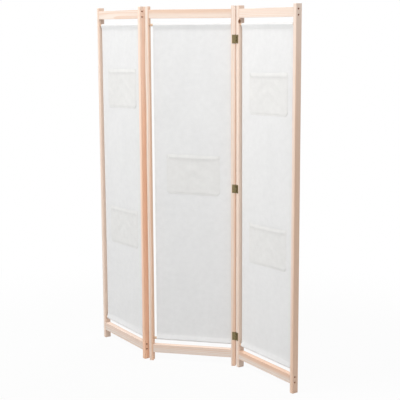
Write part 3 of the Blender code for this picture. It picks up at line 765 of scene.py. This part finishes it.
strip_length = sum(math.dist(a, b) for a, b in zip(strip_run(), strip_run()[1:]))
for panel, where in panels.items():
    strip_mesh = make_strip(f"{panel}_strip", CLOTH_SLIPS[panel])
    seams_mesh = make_strip_seams(f"{panel}_strip_seams", CLOTH_SLIPS[panel])
    strip_mesh.materials.append(sheet_cloth)
    seams_mesh.materials.append(sewing_thread)
    cloth = place_piece(f"{panel}_cloth_sheet", strip_mesh, where, f"{panel}_panel")
    seams = place_piece(f"{panel}_cloth_seams", seams_mesh, where, f"{panel}_panel")
    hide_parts(f"{panel}_cloth")

# Pockets
# Patches of the same cloth with a stitched hem at the mouth. The other edges are turned under and
# the lower corners cut off. Each is sewn to the sheet at its sides and foot, slack at the top.
POCKET_WIDTHS = {"left": 0.274, "centre": 0.255, "right": 0.274}
POCKET_HEIGHT = 0.189
POCKET_CORNER = 0.014
POCKET_SHIFT = 0.010                 # every pocket is sewn a little right of the middle
POCKET_GAPE = 0.0015                 # how far the mouth stands off the sheet
TURN_UNDER = 0.009
MOUTH_HEM = 0.016
POCKET_STITCH = 0.0045               # from the folded edges
MOUTH_STITCH = 0.0145
MOUTH_CLEAR = 0.001                  # from the mouth to where the side seams start
MOUTH_SEAM_END = 0.0015              # from the patch's edge
MOUTH_SEAM_LEGS = 16
POCKET_PLANE = SHEET_PLANE - 2 * FOLD_STEP - 0.00006         # clear of the sheet
CREASE_HEIGHT = 0.0007
CREASE_LEAN = 0.8                    # rise of a crease for each metre towards the middle
CREASE_TURNS = 95                    # radians of their wave in a metre across them
MOUTH_CREASE = 0.5                   # share of the creases that run down from the mouth
MOUTH_CREASE_TURNS = 61
HEM_ROLL = 0.0020                    # how far the thick hem stands out at its foot
HEM_ROLL_FALL = 0.0100               # height in which it falls back below the stitches
SWELL = 0.0010                       # of the cloth beside a seam
SWELL_REACH = 0.0045                 # from the foot's seam and the mouth's ends
SIDE_SWELL_REACH = 0.0180
CORNER_BULK = 0.0012                 # of the layers folded over each other in a lower corner
CORNER_REACH = 0.010
DIP = 0.00028                        # how far a row of stitches draws the cloth in
DIP_REACH = 0.0011
TACK_PITCH = 0.0022                  # of the closer stitches that lock the ends of the mouth
TACK_HEIGHT = 0.009
TACK_SPACING = 0.0006
POCKET_EDGE_STEPS = (0.0, 0.0003, 0.0010, 0.0036, 0.0045, 0.0054, 0.0068, 0.0086, 0.0094, 0.0125)
MOUTH_STEPS = (0.0, 0.0003, 0.0010, 0.0060, 0.0110, 0.0133, 0.0145, 0.0157, 0.0168, 0.0180, 0.0220)
POCKET_COLUMNS = 26
POCKET_ROWS = 18
# The patches are painted a little darker than the same cloth of the sheet: painted shade, as the
# doubled cloth lets less light through from behind
POCKET_SHADED_WHITE = (0.838, 0.834, 0.824, 1.0)
POCKET_SHADE = (0.690, 0.688, 0.679, 1.0)
shaded_pocket_cloth = cloth_material("shaded_pocket_cloth", POCKET_SHADED_WHITE, POCKET_SHADE, {"Mottling": 0.6})

# base is the height of the foot, sag how far the mouth hangs between its corners, tilt how much
# the patch rises for each metre from left to right, because none is sewn on quite level, and
# creases how far its creases are shifted, so that no two patches look alike
Pocket = namedtuple("Pocket", "panel base sag tilt creases")
POCKETS = {
    "left_upper_pocket": Pocket("left", 1.217, 0.001, 0.036, 0),
    "left_lower_pocket": Pocket("left", 0.532, 0.003, 0.036, 1),
    "centre_pocket": Pocket("centre", 0.824, 0.001, -0.024, 2),
    "right_upper_pocket": Pocket("right", 1.217, 0.002, 0.034, 3),
    "right_lower_pocket": Pocket("right", 0.532, 0.005, 0.034, 4)}


def half_width(pocket, up):
    """Half the patch's width at a height above its foot, less where a lower corner is cut off."""
    return POCKET_WIDTHS[pocket.panel] / 2 - max(0.0, POCKET_CORNER - up)


def from_outline(pocket, across, up):
    """Distance to the nearest sewn edge."""
    side = half_width(pocket, up) - abs(across)
    return min(side if up >= POCKET_CORNER else side / math.sqrt(2), up)


def bow(pocket, across):
    """1 in the middle of the patch, easing to 0 at its sides."""
    return max(0.0, 1 - (2 * across / POCKET_WIDTHS[pocket.panel]) ** 2)


def belly(pocket, across, up):
    """How far the slack patch stands off the sheet, with a few soft creases from its corners."""
    rise = up / POCKET_HEIGHT
    slant = abs(across) * CREASE_LEAN + up
    crease = math.sin(slant * CREASE_TURNS + pocket.creases) * math.sin(math.pi * min(rise, 1.0))
    crease += (MOUTH_CREASE * math.sin(across * MOUTH_CREASE_TURNS + 2 * pocket.creases)
               * rise ** 2)
    return (POCKET_GAPE * rise ** 2 + CREASE_HEIGHT * crease) * bow(pocket, across)


def past_seam(from_edge, reach):
    """0 up to the stitches, easing to 1 within a reach beyond them."""
    return 1 - math.exp(-(max(0.0, from_edge - POCKET_STITCH) / reach) ** 2)


def hem_roll(from_mouth):
    """The thick hem leans out from the mouth to its stitches and falls back below them."""
    if from_mouth < MOUTH_STITCH:
        return HEM_ROLL * from_mouth / MOUTH_STITCH
    return HEM_ROLL * max(0.0, 1 - (from_mouth - MOUTH_STITCH) / HEM_ROLL_FALL)


def corner_bulk(pocket, across, up):
    middle = Vector((POCKET_WIDTHS[pocket.panel] / 2 - POCKET_CORNER / 2, POCKET_CORNER / 2))
    away = (Vector((abs(across), up)) - middle).length
    return CORNER_BULK * math.exp(-(away / CORNER_REACH) ** 2)


def stitch_dip(from_seam):
    return DIP * math.exp(-(from_seam / DIP_REACH) ** 2)


def patch_faces(pocket, across, up):
    """Depths of the patch's front and back at a place on it."""
    seam, from_side = from_outline(pocket, across, up), half_width(pocket, up) - abs(across)
    from_mouth = POCKET_HEIGHT - up
    spread = fold_round(min(seam, from_mouth))
    turned_in = max(hem_back(seam, TURN_UNDER), hem_back(from_mouth, MOUTH_HEM))
    swell = SWELL * past_seam(up, SWELL_REACH) * past_seam(from_side, SIDE_SWELL_REACH)
    wave = sheet_wave(across + POCKET_SHIFT, pocket.base + up)
    lay = POCKET_PLANE + wave - belly(pocket, across, up)
    lay -= swell + hem_roll(from_mouth) * past_seam(seam, SWELL_REACH)
    dip = stitch_dip(seam - POCKET_STITCH) + stitch_dip(from_mouth - MOUTH_STITCH)
    front = lay - (LAYER / 2 + corner_bulk(pocket, across, up)) * spread + dip
    return front, lay + (LAYER / 2 + turned_in) * spread


def laid(pocket, across, up):
    """A place on the patch, in the panel's frame."""
    sag = pocket.sag * bow(pocket, across) * (up / POCKET_HEIGHT) ** 3
    return across + POCKET_SHIFT, pocket.base + up - sag + pocket.tilt * across


def make_patch(name, pocket):
    """The patch, its columns drawn in where the lower corners are cut off."""
    mouth = [POCKET_HEIGHT - step for step in MOUTH_STEPS[::-1]]
    rise = (mouth[0] - POCKET_CORNER) / POCKET_ROWS
    middle = [POCKET_CORNER + rise * row for row in range(POCKET_ROWS)]
    places = columns_of(POCKET_WIDTHS[pocket.panel], POCKET_EDGE_STEPS, POCKET_COLUMNS)
    rows = []
    for up in ([*POCKET_EDGE_STEPS] + middle + mouth)[::-1]:
        draw = half_width(pocket, up) / half_width(pocket, POCKET_CORNER)
        rows.append([])
        for across in (place * draw for place in places):
            aside, height = laid(pocket, across, up)
            rows[-1].append([(aside, depth, height) for depth in patch_faces(pocket, across, up)])
    return close_shell(name, rows)


def make_patch_seams(name, pocket):
    """The seam round the sides and foot, sewn through the sheet, and the one along the hem."""
    def patch_depths(aside, height):
        across = aside - POCKET_SHIFT
        up = height - laid(pocket, across, 0)[1]
        up += height - laid(pocket, across, up)[1]
        return patch_faces(pocket, across, min(POCKET_HEIGHT, up))

    def through(aside, height):
        return (patch_depths(aside, height)[0] - THREAD_PROUD,
                sheet_faces(aside, height)[1] - FOLD_STEP)

    def hem_only(aside, height):
        front, back = patch_depths(aside, height)
        return front - THREAD_PROUD, back + THREAD_PROUD

    half, mouth = half_width(pocket, POCKET_CORNER), POCKET_HEIGHT - MOUTH_CLEAR
    side, cut = half - POCKET_STITCH, POCKET_CORNER + POCKET_STITCH * (math.sqrt(2) - 1)
    outline = [(-side, mouth), (-side, cut), (cut - half, POCKET_STITCH)]
    outline += [(-across, up) for across, up in outline[::-1]]
    end = half - MOUTH_SEAM_END
    hem = [(end * (step * 2 / MOUTH_SEAM_LEGS - 1), POCKET_HEIGHT - MOUTH_STITCH)
           for step in range(MOUTH_SEAM_LEGS + 1)]
    tacks = [way * (side + TACK_SPACING * row) for way in (-1, 1) for row in (-1, 0, 1)]
    bm = bmesh.new()
    sew(bm, [laid(pocket, *place) for place in outline], through)
    sew(bm, [laid(pocket, *place) for place in hem], hem_only)
    for across in tacks:
        sew(bm, [laid(pocket, across, up) for up in (mouth, POCKET_HEIGHT - TACK_HEIGHT)],
            through, TACK_PITCH)
    return smooth_cloth(bm, name)


for name, pocket in POCKETS.items():
    patch_mesh = make_patch(f"{name}_patch", pocket)
    patch_mesh.materials.append(shaded_pocket_cloth)
    seam_mesh = make_patch_seams(f"{name}_seams", pocket)
    seam_mesh.materials.append(sewing_thread)
    where, body = panels[pocket.panel], f"{pocket.panel}_panel"
    patch = place_piece(f"{name}_patch", patch_mesh, where, body)
    seams = place_piece(f"{name}_seams", seam_mesh, where, body)
    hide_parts(name)

# Hinges
# Pressed brass butt hinges, three at each fold: on the backs of the stiles at the left fold and on
# their fronts at the right one. Two small countersunk screws with a cross recess hold each leaf.
HINGE_HEIGHTS = {"bottom": 0.150, "middle": 0.861, "top": 1.550}
LEAF_FRONT = 0.0016                  # from the pin's axis to the face of a leaf
LEAF_SINK = 0.0004                   # from that face to the floor of a countersink
LENS_LIFT = 0.00002                  # of a head's rim above that floor
LEAF_SCREW_ACROSS = 0.00985
LEAF_SCREW_SPACING = 0.024
LEAF_SCREW_TURNS = (0.5, 1.1)        # of the lower screw, and more for the upper one
LENS_HEAD = ((0.0, 0.00058), (0.0008, 0.00056), (0.0015, 0.00046), (0.0020, 0.00030),
             (0.0023, 0.00010), (0.0023, 0.0), (0.0, 0.0))
LENS_RECESS = {"middle": 0.0006, "width": 0.0005, "span": 0.0028, "depth": 0.0004}
LENS_CENTRE = 0.0001                 # radius of the flat in the middle of the head
LENS_SIDES = 16
BRASS_CLEAN = (0.270, 0.222, 0.115, 1.0)
BRASS_DULL = (0.135, 0.100, 0.048, 1.0)
PIN_DULL = (0.130, 0.052, 0.020, 1.0)
hinge_brass = metal_material("hinge_brass", BRASS_CLEAN, BRASS_DULL, dullness=0.7, roughness=0.30)
pin_brass = metal_material("pin_brass", BRASS_DULL, PIN_DULL, dullness=0.8, roughness=0.35)


def make_leaf_screws(way):
    """The heads of a leaf that lies on the side given by way, facing -Y in the hinge's frame."""
    bm = bmesh.new()
    lathe(bm, turned(LENS_HEAD, LENS_CENTRE), LENS_SIDES)
    head = recessed(mesh_of(bm, "lens_head"), blades(**LENS_RECESS))
    pair = bmesh.new()
    depth = LEAF_FRONT + LEAF_SINK - LENS_LIFT
    for number, height in enumerate((-LEAF_SCREW_SPACING / 2, LEAF_SCREW_SPACING / 2)):
        start = len(pair.verts)
        pair.from_mesh(head)
        pair.verts.ensure_lookup_table()
        seat = Matrix.Translation((way * LEAF_SCREW_ACROSS, depth, height))
        turn = LEAF_SCREW_TURNS[0] + LEAF_SCREW_TURNS[1] * number + way
        driven = seat @ Matrix.Rotation(math.pi / 2, 4, "X") @ Matrix.Rotation(turn, 4, "Z")
        bmesh.ops.transform(pair, matrix=driven, verts=pair.verts[start:])
    return smooth_metal(mesh_of(pair, "leaf_screws"), hinge_brass)


leaf_screws = {"centre": make_leaf_screws(-1), "panel": make_leaf_screws(1)}
for side, half_turn in (("left", math.pi), ("right", 0.0)):
    on_centre = Matrix.Translation(fold_lines[side].translation)
    for level, height in HINGE_HEIGHTS.items():
        name = f"{side}_{level}_hinge"
        dress(f"{name}_pin", pin_brass)
        for leaf, line, body in (("centre", on_centre, "centre_panel"),
                                 ("panel", fold_lines[side], f"{side}_panel")):
            dress(f"{name}_{leaf}_leaf", hinge_brass)
            where = line @ Matrix.Translation((0, 0, height)) @ Matrix.Rotation(half_turn, 4, "Z")
            place_piece(f"{name}_{leaf}_screws", leaf_screws[leaf], where, body)

# Floor, light and camera
# A pale floor that keeps the screen's shadow, soft lamps in front, at the side and behind, and a
# camera at a standing viewer's height, a little to the right of the centre panel.
FLOOR_SIZE = 14.0
FLOOR_GREY = (0.58, 0.58, 0.58, 1.0)
FLOOR_FADE = (0.9, 2.2)              # distances between which the shadowed floor turns white
FLOOR_WHITENESS = 0.94               # of the floor nearer than that
CAMERA_PLACE = Vector((1.003, -4.363, 1.602))
CAMERA_YAW = -0.2169
CAMERA_PITCH = -0.1569
CAMERA_ROLL = -0.0056
CAMERA_LENS = 86.69
CAMERA_SHIFT = -0.05
LAMPS = (                            # name, place, size, watts
    ("front_lamp", (-2.8, -2.1, 4.0), 2.2, 135.0),
    ("side_lamp", (1.3, -2.7, 3.7), 1.8, 50.0),
    ("back_lamp", (0.4, 3.0, 3.2), 2.4, 75.0))
LAMP_AIM = Vector((0.0, 0.0, 0.85))
LAMP_COLOUR = (1.0, 0.988, 0.972)
WORLD_LIGHT = 0.40
SKY_COLOUR = (0.965, 0.988, 1.0, 1.0)
WHITE = (1.0, 1.0, 1.0, 1.0)


def shown(tree):
    """1 for light that shows a place to the viewer, straight or by way of metal or glass."""
    path = tree.nodes.new("ShaderNodeLightPath").outputs
    return calc(tree, "MAXIMUM", path["Is Camera Ray"], calc(
        tree, "MAXIMUM", path["Is Glossy Ray"], path["Is Transmission Ray"]))


bm = bmesh.new()
bmesh.ops.create_grid(bm, x_segments=1, y_segments=1, size=FLOOR_SIZE / 2)
floor = add_object("floor", mesh_of(bm, "floor"))
material, tree, shader = start_material("floor_paint")
shader.inputs["Base Color"].default_value = FLOOR_GREY
shader.inputs["Roughness"].default_value = 0.9
white = add_node(tree, "ShaderNodeEmission", {"Strength": 1.0})
whiteness = ease(tree, distance(tree, own_place(tree)), *FLOOR_FADE, FLOOR_WHITENESS, 1.0)
mix = add_node(tree, "ShaderNodeMixShader", {
    0: calc(tree, "MULTIPLY", shown(tree), whiteness), 1: shader.outputs[0], 2: white.outputs[0]})
tree.links.new(mix.outputs[0], tree.nodes["Material Output"].inputs["Surface"])
floor.data.materials.append(material)

world = bpy.data.worlds.new("studio")
world.use_nodes = True
tree = world.node_tree
sky, seen = tree.nodes["Background"].inputs, shown(tree)
tree.links.new(calc(tree, "MULTIPLY_ADD", seen, 1.0 - WORLD_LIGHT, WORLD_LIGHT), sky["Strength"])
tree.links.new(tint(tree, seen, SKY_COLOUR, WHITE), sky["Color"])
bpy.context.scene.world = world

for name, place, size, watts in LAMPS:
    lamp = bpy.data.lights.new(name, "AREA")
    lamp.shape, lamp.size, lamp.energy, lamp.color = "SQUARE", size, watts, LAMP_COLOUR
    holder = add_object(name, lamp)
    holder.location = place
    holder.rotation_euler = (LAMP_AIM - Vector(place)).to_track_quat("-Z", "Y").to_euler()

ahead = math.cos(CAMERA_PITCH) * Vector((math.sin(CAMERA_YAW), math.cos(CAMERA_YAW), 0))
ahead += math.sin(CAMERA_PITCH) * Vector((0, 0, 1))
right = Vector((math.cos(CAMERA_YAW), -math.sin(CAMERA_YAW), 0))
rolled = math.cos(CAMERA_ROLL) * right + math.sin(CAMERA_ROLL) * right.cross(ahead)
camera = add_object("camera", bpy.data.cameras.new("camera"))
camera.data.lens = CAMERA_LENS
camera.data.shift_y = CAMERA_SHIFT
facing = Matrix((rolled, rolled.cross(ahead), -ahead)).transposed()
camera.matrix_world = Matrix.Translation(CAMERA_PLACE) @ facing.to_4x4()
bpy.context.scene.camera = camera
bpy.context.scene.view_settings.view_transform = "Standard"
